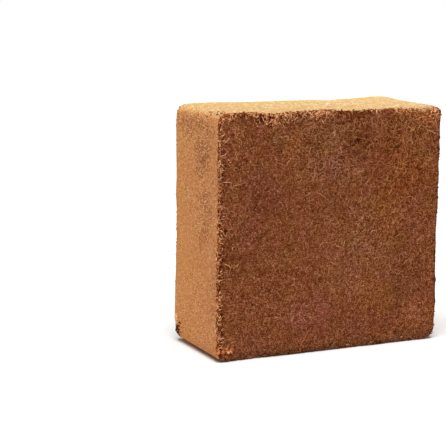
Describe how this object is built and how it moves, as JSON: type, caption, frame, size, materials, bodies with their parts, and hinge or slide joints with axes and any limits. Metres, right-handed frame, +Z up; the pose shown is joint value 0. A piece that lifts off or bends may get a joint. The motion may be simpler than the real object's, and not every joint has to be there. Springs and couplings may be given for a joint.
{
  "type": "compressed coconut coir block",
  "caption": "Square-faced compressed block of coconut pith and husk fibre with rounded corners and frayed edges, a dry growing medium that swells in water.",
  "frame": {"origin": "centre of the base, on the narrow side that the block stands on", "axes": "+X along the large faces, to the right seen from the front; +Y through the thickness, from the front face to the back face; +Z up"},
  "size_m": [0.3, 0.122, 0.288],
  "materials": {
    "coir": "dry matted pith and fibre: dark reddish brown and rough on the two pressed faces, smooth orange tan on the moulded sides"
  },
  "bodies": {
    "root": {"coir_block": "coir"}
  },
  "joints": []
}
